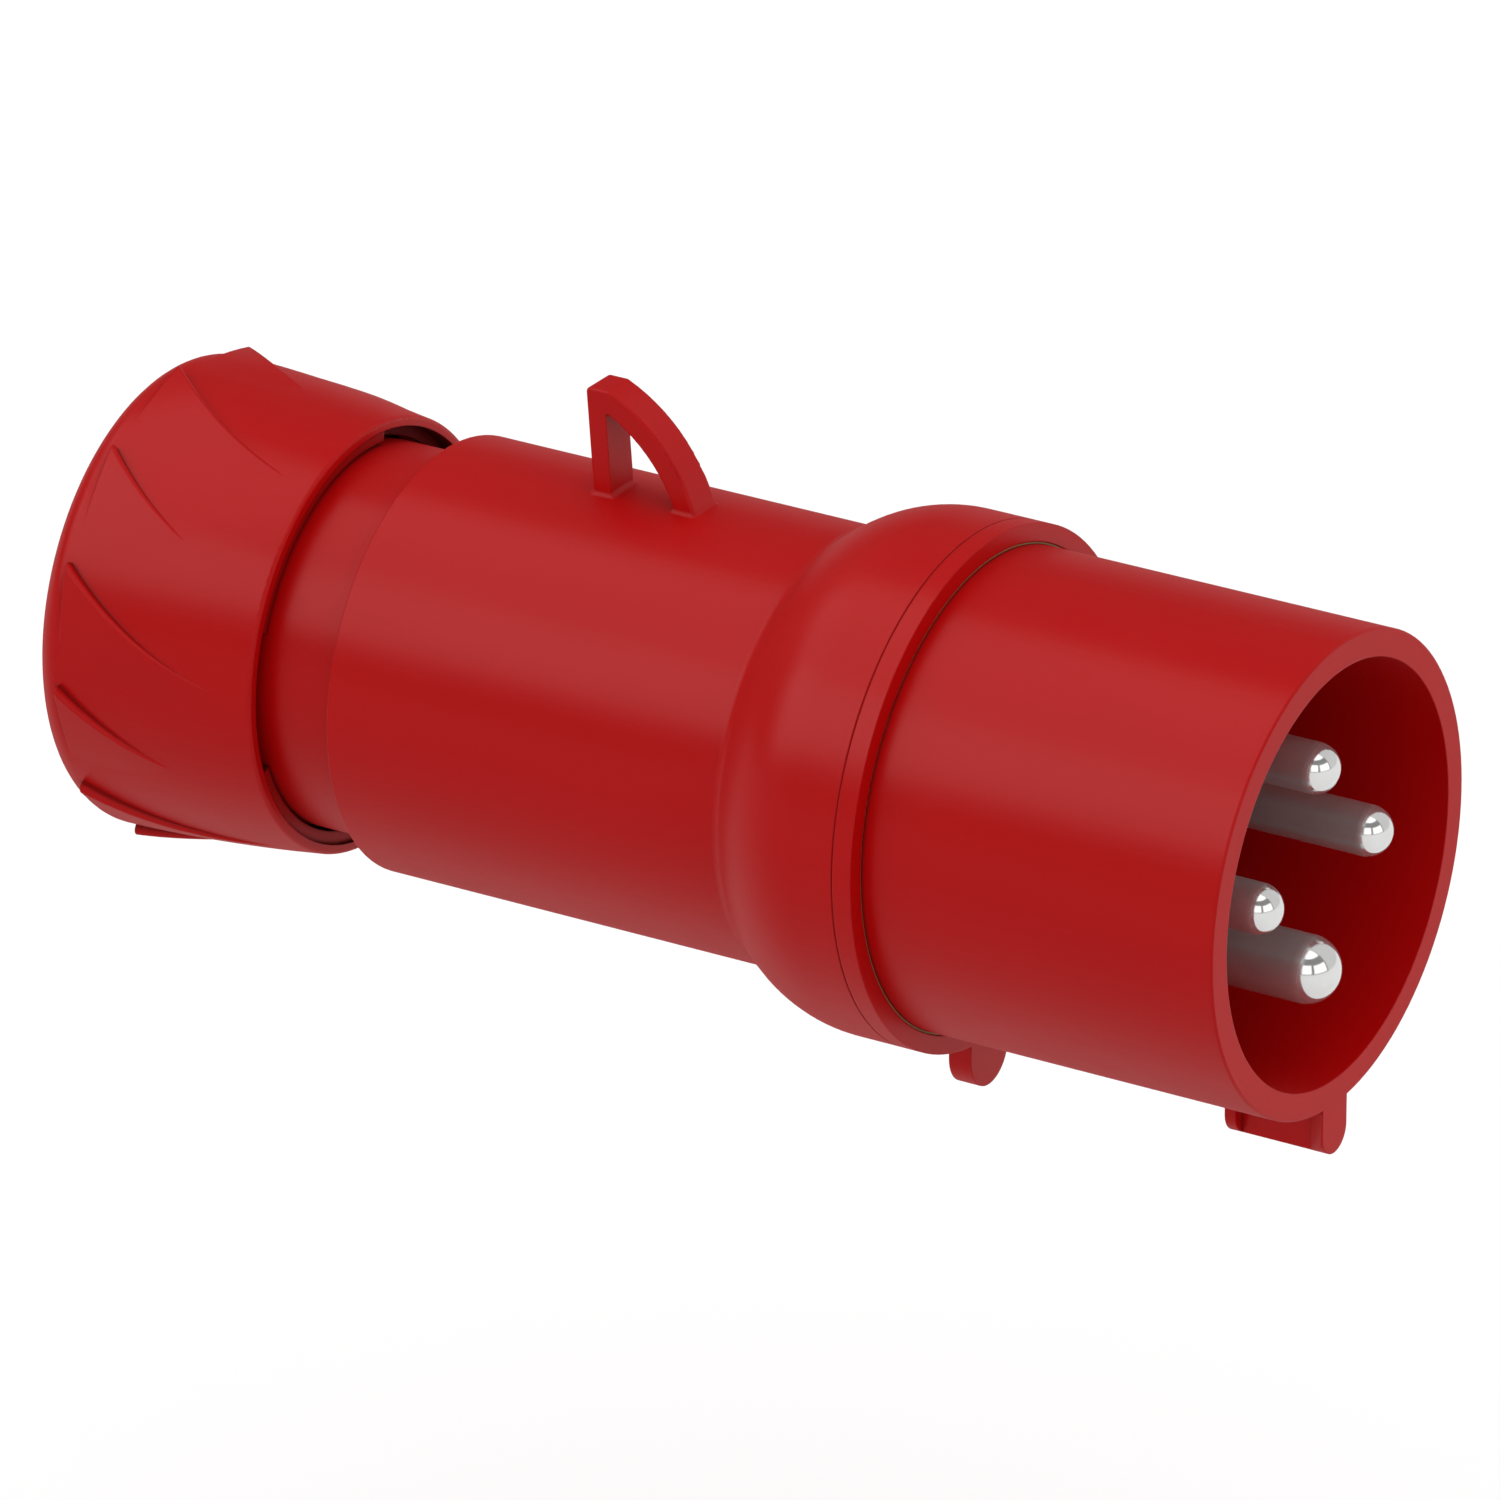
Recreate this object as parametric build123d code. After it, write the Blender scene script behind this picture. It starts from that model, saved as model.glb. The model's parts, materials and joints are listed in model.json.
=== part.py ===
"""Industrial pin and sleeve plug, 32 A, three phases and earth, earth contact at 6 o'clock.

The plug's own axis is X and +X points out of the mouth. The mouth's rim is at x = 0, +Z is up
through the hanging loop, and the key and the earth pin are at the bottom. All sizes are in mm.
A place along the axis is a depth behind the mouth, so it is written as a positive number.
"""

from build123d import *
import math
import os

# Running and seating clearances
SLIP = 0.1
HAIR = 0.05
MOVING_GAP = 0.35

# How far a cutting shape runs past what it cuts, and a root into what carries it
OVERRUN = 1.0

# Shroud: the sleeve round the contacts, with its key
SHROUD_R = 28.56
SHROUD_WALL = 3.32
RIM_CHAMFER = 0.2
FLANGE_HEIGHT = 1.29
FLANGE_THICKNESS = 1.8
SEAL_GROOVE_LEAD = 0.9
SEAL_GROOVE_WIDTH = 1.6
SEAL_GROOVE_DEPTH = 1.3
SHROUD_TAIL = 1.0
KEY_LENGTH = 12.8
KEY_HALF_WIDTH = 2.74
KEY_DROP = 5.98
KEY_TAB_THICKNESS = 1.4
KEY_WEB_HALF_WIDTH = 1.1
KEY_FLARE_LENGTH = 2.5

# Collar ring: snaps into the housing and traps the shroud's flange
COLLAR_FRONT = 45.5
COLLAR_THICKNESS = 2.5
COLLAR_SEAL_WIDTH = 0.4
COLLAR_SEAL_LIP = 0.2
COLLAR_SEAL_LIP_LENGTH = 0.8
SPIGOT_LENGTH = 3.5
SNAP_BEAD = 0.25
SNAP_BEAD_WIDTH = 1.0
LUG_THICKNESS = 3.0
LUG_HALF_WIDTH = 4.1
LUG_DROP = 6.05

# Housing: bulb, handle and threaded neck in one moulding
BULB_RIM_WALL = 1.1
SEAM_CHAMFER = 0.12
BULB_STRAIGHT = 6.0
BULB_ARC_R = 17.2
BULB_ROOT_FILLET = 2.0
SOCKET_SPARE = 0.2
SOCKET_TAPER = 9.0
HANDLE_R = 26.05
HANDLE_WALL = 2.85
HANDLE_END = 118.9
HANDLE_STEP = 3.0
NECK_LENGTH = 28.1
NECK_WALL = 2.3
NECK_TAPER = 5.9
NECK_CHAMFER = 0.6
THREAD_LENGTH = 15.5
THREAD_DEPTH = 1.15

# Hanging loop on the handle
LOOP_SETBACK = 21.45
LOOP_LEAN = 0.078
LOOP_LEG = 2.5
LOOP_BAND = 2.45
LOOP_HALF_WIDTH = 2.4
LOOP_ARC_R = 21.25
LOOP_ARC_LEAD = 6.55
LOOP_ARC_SINK = 6.55
LOOP_RISE = 12.95
LOOP_ROOT_SINK = 2.0
LOOP_CORNER_R = 0.6
LOOP_EDGE_R = 0.35
LOOP_FOOT_R = 0.6

# Contacts
PITCH_R = 12.5
PHASE_R = 3.0
EARTH_R = 4.0
PHASE_TIP_DEPTH = 0.31
EARTH_TIP_DEPTH = -0.12
PIN_FLANGE_THICKNESS = 4.0
PIN_FLANGE_STEP = 2.8
SHANK_STEP = 0.4
BARREL_STEP = 2.0
BARREL_LENGTH = 13.0
BARREL_FLAT_CUT = 0.7
WIRE_BORE_DEPTH = 12.5
WIRE_BORE_CONE = 1.5
PHASE_WIRE_R = 2.9
EARTH_WIRE_R = 3.4
TERMINAL_SETBACK = 6.0
TERMINAL_THREAD_R = 2.0
TERMINAL_HEAD_R = 3.3
TERMINAL_HEAD_HEIGHT = 2.2
TERMINAL_SHANK_LENGTH = 4.6
SLOT_WIDTH = 0.9
SLOT_DEPTH = 1.1

# Contact carrier and its retaining plate
CARRIER_SEAT_DEPTH = 44.0
CARRIER_SHOULDER = 0.76
CARRIER_FACE_LEAD = 4.0
CARRIER_FRONT_CHAMFER = 0.5
CARRIER_PLATE_THICKNESS = 5.5
CARRIER_RIM_WALL = 2.0
CARRIER_BEAD_LEAD = 5.0
CARRIER_BEAD = 0.3
CARRIER_BEAD_WIDTH = 1.2
TOWER_LENGTH = 10.0
TOWER_WALL = 1.8
CONTACT_COLLAR_WALL = 1.1
CONTACT_COLLAR_HEIGHT = 1.2
RETAINER_THICKNESS = 3.0
RETAINER_RIB_HEIGHT = 2.5
RETAINER_RIB_THICKNESS = 1.6
RETAINER_SCREW_ANGLE = 45
RETAINER_SCREW_PITCH_R = 17.0
RETAINER_SCREW_R = 1.5
RETAINER_HEAD_R = 2.8
RETAINER_HEAD_HEIGHT = 1.8
RETAINER_SCREW_LENGTH = 10.0
SCREW_BOSS_R = 3.2

# Gland: clamp cage, rubber grommet and pressure ring
CAGE_WALL = 1.6
CAGE_REACH = 14.0
CAGE_FLANGE_STEP = 0.2
CAGE_FLANGE_THICKNESS = 1.6
FINGER_COUNT = 10
FINGER_LENGTH = 5.7
FINGER_ROOT_LENGTH = 0.5
FINGER_ROOT_STEP = 0.6
FINGER_THICKNESS = 1.6
FINGER_SLOT = 2.2
CONE_SLOPE = 0.6
GROMMET_BORE_R = 9.0
GROMMET_SHORTFALL = 0.5
RING_LEAD = 1.9
RING_LENGTH = 4.7
RING_WALL = 1.5

# Gland nut
NUT_OVERLAP = 17.7
NUT_THREAD_GAP = 0.45
NUT_MOUTH_STEP = 1.5
NUT_MOUTH_DEPTH = 2.2
NUT_MOUTH_WALL = 1.2
NUT_MIDDLE_SWELL = 1.38
NUT_REAR_SWELL = 2.0
NUT_CORNER_R = 3.0
NUT_RIM_R = 0.5
NUT_REAR_WALL = 3.0
NUT_CABLE_GAP = 4.0
NUT_CABLE_FLARE = 1.5
LIP_COUNT = 3
LIP_ARC = 77.5
LIP_START = -8.3
LIP_RECESS = 0.5
LIP_THICKNESS = 1.2
LIP_GAP = 0.4
RIB_COUNT = 12
RIB_PHASE = 3.0
RIB_LONG = 23.0
RIB_SHORT = 14.5
RIB_SETBACK = 0.7
RIB_HEIGHT = 1.2
RIB_EDGE_R = 0.8
RIB_TIP_EDGE_R = 0.15
RIB_RAMP = 25.0
RIB_TIP_RAMP = 2.0
RIB_TWIST = 1.75
RIB_TWIST_EASE = 0.029
RIB_FOOT_SINK = 0.06
RIB_TIP_SINK = 0.1
RIB_ROOT_SINK = 0.8
RIB_SECTION_COUNT = 6

# Radii worked out from those above
MOUTH_R = SHROUD_R - SHROUD_WALL
SHROUD_BORE_R = SHROUD_R + SLIP
SEAL_R = SHROUD_R - SEAL_GROOVE_DEPTH
FLANGE_R = SHROUD_R + FLANGE_HEIGHT
COUNTERBORE_R = FLANGE_R + SLIP
COLLAR_R = COUNTERBORE_R + BULB_RIM_WALL
REAR_BORE_R = MOUTH_R + CARRIER_SHOULDER
CARRIER_FACE_R = MOUTH_R - SLIP
CARRIER_RIM_R = REAR_BORE_R - SLIP
NECK_R = HANDLE_R - HANDLE_STEP
THREAD_ROOT_R = NECK_R - THREAD_DEPTH
NECK_BORE_R = THREAD_ROOT_R - NECK_WALL
CAGE_FLANGE_R = THREAD_ROOT_R - CAGE_FLANGE_STEP
CAGE_TUBE_R = NECK_BORE_R - SLIP
CAGE_BORE_R = CAGE_TUBE_R - CAGE_WALL
FINGER_ROOT_R = NECK_BORE_R - FINGER_ROOT_STEP
NUT_THREAD_R = NECK_R + NUT_THREAD_GAP
NUT_MOUTH_R = NUT_THREAD_R + NUT_MOUTH_STEP
NUT_FRONT_R = NUT_MOUTH_R + NUT_MOUTH_WALL
NUT_MIDDLE_R = NUT_FRONT_R + NUT_MIDDLE_SWELL
NUT_REAR_R = NUT_FRONT_R + NUT_REAR_SWELL
NUT_CABLE_R = GROMMET_BORE_R + NUT_CABLE_GAP
LIP_BORE_R = NECK_R + LIP_GAP

# Depths worked out from those above
SEAL_LIP_END = COLLAR_FRONT + COLLAR_SEAL_LIP_LENGTH
RING_REAR = COLLAR_FRONT + COLLAR_THICKNESS
SPIGOT_END = RING_REAR + SPIGOT_LENGTH
FLANGE_END = SPIGOT_END + FLANGE_THICKNESS
SEAL_GROOVE_START = FLANGE_END + SEAL_GROOVE_LEAD
SEAL_GROOVE_END = SEAL_GROOVE_START + SEAL_GROOVE_WIDTH
CARRIER_FACE_DEPTH = CARRIER_SEAT_DEPTH - CARRIER_FACE_LEAD
CARRIER_PLATE_END = CARRIER_FACE_DEPTH + CARRIER_PLATE_THICKNESS
CARRIER_BEAD_DEPTH = CARRIER_SEAT_DEPTH + CARRIER_BEAD_LEAD
CONTACT_COLLAR_FRONT = CARRIER_FACE_DEPTH - CONTACT_COLLAR_HEIGHT
RETAINER_START = CARRIER_SEAT_DEPTH + TOWER_LENGTH
RETAINER_END = RETAINER_START + RETAINER_THICKNESS
PIN_FLANGE_DEPTH = RETAINER_START - PIN_FLANGE_THICKNESS
BARREL_END = RETAINER_START + BARREL_LENGTH
TERMINAL_SCREW_DEPTH = BARREL_END - TERMINAL_SETBACK
SHROUD_END = max(SEAL_GROOVE_END + SHROUD_TAIL, RETAINER_END - SOCKET_SPARE)
SOCKET_END = SHROUD_END + SOCKET_SPARE
TAPER_END = SOCKET_END + SOCKET_TAPER
BULB_ARC_START = RING_REAR + BULB_STRAIGHT
NECK_END = HANDLE_END + NECK_LENGTH
NECK_TAPER_START = HANDLE_END - NECK_TAPER
THREAD_START = NECK_END - THREAD_LENGTH
FINGER_START = NECK_END + CAGE_FLANGE_THICKNESS
FINGER_END = FINGER_START + FINGER_LENGTH
RING_FRONT = FINGER_START + RING_LEAD
RING_REAR_FACE = RING_FRONT + RING_LENGTH
NUT_FRONT = NECK_END - NUT_OVERLAP
NUT_END = RING_REAR_FACE + NUT_REAR_WALL
RIB_START = NUT_END - NUT_CORNER_R - RIB_SETBACK

# The loop's rear foot, and its round front's centre and flat top
LOOP_REAR_DEPTH = HANDLE_END - LOOP_SETBACK
LOOP_ARC_DEPTH = LOOP_REAR_DEPTH + LOOP_ARC_LEAD
LOOP_ARC_HEIGHT = HANDLE_R - LOOP_ARC_SINK
LOOP_TOP = HANDLE_R + LOOP_RISE

# Contacts: name, and angle from the top turning towards -Y
CONTACTS = [("phase_pin_1", 90), ("phase_pin_2", 0), ("phase_pin_3", 270), ("earth_pin", 180)]


def turned(outline):
    """Solid of revolution about the plug's axis, from (depth, radius) corners."""
    corners = [(-depth, radius) for depth, radius in outline]
    return revolve(Plane.XZ * make_face(Polyline(*corners, close=True)), Axis.X)


def rod(start, end, radius, y=0.0, z=0.0):
    """Round bar along the plug's axis between two depths."""
    return Pos(-(start + end) / 2, y, z) * Rot(0, 90, 0) * Cylinder(radius, end - start)


def around(angle, radius):
    """Y and Z of a point at an angle from the top, turning towards the viewer's side (-Y)."""
    turn = math.radians(angle)
    return -radius * math.sin(turn), radius * math.cos(turn)


def d_plate(start, end, half_width, top_z, bottom_z):
    """Plate across the axis with straight sides and a half-round bottom."""
    centre_z = bottom_z + half_width
    straight = Pos(0, (top_z + centre_z) / 2) * Rectangle(2 * half_width, top_z - centre_z)
    lower = Pos(0, centre_z - half_width / 2) * Rectangle(2 * half_width, half_width)
    face = straight + (Pos(0, centre_z) * Circle(half_width) & lower)
    return extrude(Plane((-end, 0, 0), x_dir=(0, 1, 0), z_dir=(1, 0, 0)) * face, end - start)


def is_earth(name):
    return name == "earth_pin"


def contact_r(name):
    return EARTH_R if is_earth(name) else PHASE_R


def shroud():
    """Sleeve with its trapped flange, seal groove, carrier seat, snap groove and key."""
    bead = CARRIER_BEAD_WIDTH / 2 + SLIP
    groove_r = REAR_BORE_R + CARRIER_BEAD
    body = turned([
        (0, MOUTH_R), (0, SHROUD_R - RIM_CHAMFER), (RIM_CHAMFER, SHROUD_R),
        (SPIGOT_END, SHROUD_R), (SPIGOT_END, FLANGE_R), (FLANGE_END, FLANGE_R), (FLANGE_END, SHROUD_R),
        (SEAL_GROOVE_START, SHROUD_R), (SEAL_GROOVE_START, SEAL_R),
        (SEAL_GROOVE_END, SEAL_R), (SEAL_GROOVE_END, SHROUD_R),
        (SHROUD_END, SHROUD_R), (SHROUD_END, REAR_BORE_R),
        (CARRIER_BEAD_DEPTH + bead, REAR_BORE_R), (CARRIER_BEAD_DEPTH + bead, groove_r),
        (CARRIER_BEAD_DEPTH - bead, groove_r), (CARRIER_BEAD_DEPTH - bead, REAR_BORE_R),
        (CARRIER_SEAT_DEPTH, REAR_BORE_R), (CARRIER_SEAT_DEPTH, MOUTH_R),
    ])
    return body + shroud_key()


def shroud_key():
    """Key under the mouth: a half-round bar with a full rear tab and recessed, flared sides."""
    bottom = -SHROUD_R - KEY_DROP
    root = -SHROUD_R + SHROUD_WALL / 2
    key = d_plate(0, KEY_LENGTH, KEY_HALF_WIDTH, root, bottom)
    pocket_rear = -KEY_LENGTH + KEY_TAB_THICKNESS
    for side in (1, -1):
        inner = side * KEY_WEB_HALF_WIDTH
        outer = side * 2 * KEY_HALF_WIDTH
        flare = side * KEY_HALF_WIDTH
        pocket = make_face(Polyline(
            (pocket_rear, outer), (pocket_rear, inner), (-KEY_FLARE_LENGTH, inner),
            (-RIM_CHAMFER, flare), (-RIM_CHAMFER, outer), close=True,
        ))
        key -= extrude(Pos(0, 0, bottom - OVERRUN) * pocket, root - bottom + 2 * OVERRUN)
    return key


def collar_ring():
    """Ring in front of the housing, with a spigot, its snap bead and the lug at the bottom."""
    lip_bore_r = SHROUD_R + COLLAR_SEAL_LIP + HAIR
    bore_r = SHROUD_R + COLLAR_SEAL_WIDTH + HAIR
    bead_front = RING_REAR + SPIGOT_LENGTH / 2 - SNAP_BEAD_WIDTH / 2
    bead_r = FLANGE_R + SNAP_BEAD
    ring = turned([
        (COLLAR_FRONT, lip_bore_r), (COLLAR_FRONT, COLLAR_R), (RING_REAR - SEAM_CHAMFER, COLLAR_R),
        (RING_REAR, COLLAR_R - SEAM_CHAMFER), (RING_REAR, FLANGE_R),
        (bead_front, FLANGE_R), (bead_front, bead_r), (bead_front + SNAP_BEAD_WIDTH, FLANGE_R),
        (SPIGOT_END, FLANGE_R), (SPIGOT_END, bore_r),
        (SEAL_LIP_END, bore_r), (SEAL_LIP_END, lip_bore_r),
    ])
    lug_end = COLLAR_FRONT + LUG_THICKNESS
    lug = d_plate(COLLAR_FRONT, lug_end, LUG_HALF_WIDTH, OVERRUN - COLLAR_R, -COLLAR_R - LUG_DROP)
    housing_rim = rod(RING_REAR, lug_end + OVERRUN, COLLAR_R + SLIP)
    return ring + (lug - housing_rim)


def collar_seal():
    """Soft ring trapped between the collar and the shroud, with a thin lip seen round the shroud."""
    lip_r = SHROUD_R + COLLAR_SEAL_LIP
    body_r = SHROUD_R + COLLAR_SEAL_WIDTH
    body_start = SEAL_LIP_END + HAIR
    return turned([
        (COLLAR_FRONT + SLIP, SHROUD_R + HAIR), (COLLAR_FRONT + SLIP, lip_r), (body_start, lip_r),
        (body_start, body_r), (SPIGOT_END, body_r), (SPIGOT_END, SHROUD_R + HAIR),
    ])


def shroud_seal():
    """Round sealing ring in the shroud's groove, against the housing's socket."""
    section_r = (SHROUD_BORE_R - SEAL_R) / 2 - HAIR / 2
    centre_r = (SHROUD_BORE_R + SEAL_R) / 2
    depth = SEAL_GROOVE_START + SEAL_GROOVE_WIDTH / 2
    return Pos(-depth, 0, 0) * Rot(0, 90, 0) * Torus(centre_r, section_r)


def bulb_radius(depth):
    """Outer radius of the bulb at a depth behind its straight part."""
    run = depth - BULB_ARC_START
    return COLLAR_R - BULB_ARC_R + math.sqrt(BULB_ARC_R ** 2 - run ** 2)


def bulb_arc_end():
    """Depth at which the bulb's arc comes down to the handle."""
    drop = COLLAR_R - HANDLE_R
    return BULB_ARC_START + math.sqrt(BULB_ARC_R ** 2 - (BULB_ARC_R - drop) ** 2)


def housing_outline():
    """Face between the housing's outside and its bores, as (depth, radius)."""
    arc_end = bulb_arc_end()
    middle = (BULB_ARC_START + arc_end) / 2
    bead_front = RING_REAR + SPIGOT_LENGTH / 2 - SNAP_BEAD_WIDTH / 2 - SLIP
    bead_rear = bead_front + SNAP_BEAD_WIDTH + 2 * SLIP
    bead_r = COUNTERBORE_R + SNAP_BEAD
    bulb = ThreePointArc(
        (-BULB_ARC_START, COLLAR_R), (-middle, bulb_radius(middle)), (-arc_end, HANDLE_R)
    )
    rest = Polyline(*[(-depth, radius) for depth, radius in [
        (arc_end, HANDLE_R), (HANDLE_END, HANDLE_R), (HANDLE_END, NECK_R), (THREAD_START, NECK_R),
        (THREAD_START + NECK_R - THREAD_ROOT_R, THREAD_ROOT_R), (NECK_END - NECK_CHAMFER, THREAD_ROOT_R),
        (NECK_END, THREAD_ROOT_R - NECK_CHAMFER), (NECK_END, NECK_BORE_R), (HANDLE_END, NECK_BORE_R),
        (NECK_TAPER_START, HANDLE_R - HANDLE_WALL), (TAPER_END, HANDLE_R - HANDLE_WALL),
        (SOCKET_END, SHROUD_BORE_R), (FLANGE_END, SHROUD_BORE_R), (FLANGE_END, COUNTERBORE_R),
        (bead_rear, COUNTERBORE_R), (bead_rear, bead_r), (bead_front, bead_r), (bead_front, COUNTERBORE_R),
        (RING_REAR, COUNTERBORE_R), (RING_REAR, COLLAR_R - SEAM_CHAMFER),
        (RING_REAR + SEAM_CHAMFER, COLLAR_R), (BULB_ARC_START, COLLAR_R),
    ]])
    return make_face(bulb + rest)


def loop_rear_x(height, shift):
    """X of the loop's leaning rear edge at a height, moved forward by shift."""
    return -LOOP_REAR_DEPTH - LOOP_LEAN * (height - HANDLE_R) + shift


def loop_face(arc_r, rear_shift, top, corner_r):
    """Loop's outline in the XZ plane: a leaning rear edge, a short flat top and a round front."""
    bottom = HANDLE_R - LOOP_ROOT_SINK
    disc = Pos(-LOOP_ARC_DEPTH, LOOP_ARC_HEIGHT) * Circle(arc_r)
    window = make_face(Polyline(
        (loop_rear_x(bottom, rear_shift), bottom), (-LOOP_ARC_DEPTH + 2 * arc_r, bottom),
        (-LOOP_ARC_DEPTH + 2 * arc_r, top), (loop_rear_x(top, rear_shift), top), close=True,
    ))
    face = disc & window
    rear_corner = face.vertices().group_by(Axis.Y)[-1].sort_by(Axis.X)[0]
    return fillet(rear_corner, corner_r)


def hanging_loop():
    """Flat loop on top of the handle, with softened edges."""
    outer = loop_face(LOOP_ARC_R, 0, LOOP_TOP, LOOP_CORNER_R)
    inner = loop_face(LOOP_ARC_R - LOOP_BAND, LOOP_LEG, LOOP_TOP, LOOP_CORNER_R / 2)
    blank = extrude(Plane.XZ * outer, LOOP_HALF_WIDTH, both=True)
    above = blank.edges().filter_by(
        lambda e: abs(abs(e.center().Y) - LOOP_HALF_WIDTH) < HAIR and e.center().Z > HANDLE_R
    )
    blank = fillet(above, LOOP_EDGE_R)
    return blank - extrude(Plane.XZ * inner, 2 * LOOP_HALF_WIDTH, both=True)


def is_loop_foot(edge):
    """Whether an edge lies on the handle's surface under the loop."""
    middle = edge.center()
    on_handle = abs(math.hypot(middle.Y, middle.Z) - HANDLE_R) < HAIR
    loop_front = LOOP_ARC_DEPTH - LOOP_ARC_R
    return on_handle and middle.Z > 0 and loop_front < -middle.X < LOOP_REAR_DEPTH + OVERRUN


def handle_housing():
    """Bulb, handle, neck and loop as one moulding, with the revolved seam at the bottom."""
    body = Rot(180, 0, 0) * revolve(Plane.XZ * housing_outline(), Axis.X)
    root = body.edges().filter_by(GeomType.CIRCLE).filter_by(
        lambda e: abs(e.radius - HANDLE_R) < HAIR and abs(e.arc_center.X + bulb_arc_end()) < HAIR
    )
    body = fillet(root, BULB_ROOT_FILLET)
    body += hanging_loop()
    return fillet(body.edges().filter_by(is_loop_foot), LOOP_FOOT_R)


def contact_pin(name, angle):
    """Contact with a round tip, a trapped flange and a terminal barrel for the wire."""
    radius = contact_r(name)
    tip = EARTH_TIP_DEPTH if is_earth(name) else PHASE_TIP_DEPTH
    wire_r = EARTH_WIRE_R if is_earth(name) else PHASE_WIRE_R
    barrel_r = radius + BARREL_STEP
    bore_start = BARREL_END - WIRE_BORE_DEPTH
    shoulder = tip + radius
    dome = ThreePointArc(
        (-tip, 0), (-shoulder + radius * math.cos(math.pi / 4), radius * math.sin(math.pi / 4)),
        (-shoulder, radius),
    )
    rest = Polyline(*[(-depth, r) for depth, r in [
        (shoulder, radius), (CONTACT_COLLAR_FRONT, radius), (CONTACT_COLLAR_FRONT, radius + SHANK_STEP),
        (PIN_FLANGE_DEPTH, radius + SHANK_STEP), (PIN_FLANGE_DEPTH, radius + PIN_FLANGE_STEP),
        (RETAINER_START, radius + PIN_FLANGE_STEP), (RETAINER_START, barrel_r), (BARREL_END, barrel_r),
        (BARREL_END, wire_r), (bore_start, wire_r), (bore_start - WIRE_BORE_CONE, 0), (tip, 0),
    ]])
    pin = revolve(Plane.XZ * make_face(dome + rest), Axis.X)
    flat_z = barrel_r - BARREL_FLAT_CUT
    flat_x = -(RETAINER_START + BARREL_END) / 2
    flat = Pos(flat_x, 0, flat_z + barrel_r / 2) * Box(BARREL_LENGTH, 2 * barrel_r, barrel_r)
    hole = Pos(-TERMINAL_SCREW_DEPTH, 0, barrel_r / 2) * Cylinder(TERMINAL_THREAD_R + HAIR, barrel_r)
    pin = pin - flat - hole
    return Rot(angle, 0, 0) * Pos(0, 0, PITCH_R) * pin


def terminal_screw(name, angle):
    """Slotted cheese-head screw that clamps the wire, square to the contact and facing outwards."""
    seat = contact_r(name) + BARREL_STEP - BARREL_FLAT_CUT
    head = Pos(0, 0, seat + TERMINAL_HEAD_HEIGHT / 2) * Cylinder(TERMINAL_HEAD_R, TERMINAL_HEAD_HEIGHT)
    shank = Pos(0, 0, seat - TERMINAL_SHANK_LENGTH / 2) * Cylinder(TERMINAL_THREAD_R, TERMINAL_SHANK_LENGTH)
    slot_z = seat + TERMINAL_HEAD_HEIGHT - SLOT_DEPTH / 2
    slot = Pos(0, 0, slot_z) * Box(3 * TERMINAL_HEAD_R, SLOT_WIDTH, SLOT_DEPTH)
    screw = head + shank - slot
    return Rot(angle, 0, 0) * Pos(-TERMINAL_SCREW_DEPTH, 0, PITCH_R) * screw


def pin_carrier():
    """Insulating carrier: a face plate, a snap rim, and a tower behind each contact."""
    bead_r = CARRIER_RIM_R + CARRIER_BEAD
    half_bead = CARRIER_BEAD_WIDTH / 2
    rim_inner_r = CARRIER_RIM_R - CARRIER_RIM_WALL
    body = turned([
        (CARRIER_FACE_DEPTH, 0), (CARRIER_FACE_DEPTH, CARRIER_FACE_R - CARRIER_FRONT_CHAMFER),
        (CARRIER_FACE_DEPTH + CARRIER_FRONT_CHAMFER, CARRIER_FACE_R), (CARRIER_SEAT_DEPTH, CARRIER_FACE_R),
        (CARRIER_SEAT_DEPTH, CARRIER_RIM_R), (CARRIER_BEAD_DEPTH - half_bead, CARRIER_RIM_R),
        (CARRIER_BEAD_DEPTH - half_bead / 2, bead_r), (CARRIER_BEAD_DEPTH + half_bead, bead_r),
        (CARRIER_BEAD_DEPTH + half_bead, CARRIER_RIM_R), (RETAINER_START, CARRIER_RIM_R),
        (RETAINER_START, rim_inner_r), (CARRIER_PLATE_END, rim_inner_r), (CARRIER_PLATE_END, 0),
    ])
    for name, angle in CONTACTS:
        y, z = around(angle, PITCH_R)
        flange_r = contact_r(name) + PIN_FLANGE_STEP + SLIP
        bore_r = contact_r(name) + SHANK_STEP + HAIR
        body += rod(CARRIER_PLATE_END - OVERRUN, RETAINER_START, flange_r + TOWER_WALL, y, z)
        body += rod(CONTACT_COLLAR_FRONT, CARRIER_FACE_DEPTH + OVERRUN, bore_r + CONTACT_COLLAR_WALL, y, z)
        body -= rod(CONTACT_COLLAR_FRONT - OVERRUN, RETAINER_START + OVERRUN, bore_r, y, z)
        body -= rod(PIN_FLANGE_DEPTH, RETAINER_START + OVERRUN, flange_r, y, z)
    for y, z in retainer_screw_places():
        body += rod(CARRIER_PLATE_END - OVERRUN, RETAINER_START, SCREW_BOSS_R, y, z)
        hole_front = RETAINER_END - RETAINER_SCREW_LENGTH
        body -= rod(hole_front, RETAINER_START + OVERRUN, RETAINER_SCREW_R + HAIR, y, z)
    return body


def retainer_screw_places():
    angles = (RETAINER_SCREW_ANGLE, RETAINER_SCREW_ANGLE + 180)
    return [around(angle, RETAINER_SCREW_PITCH_R) for angle in angles]


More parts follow.
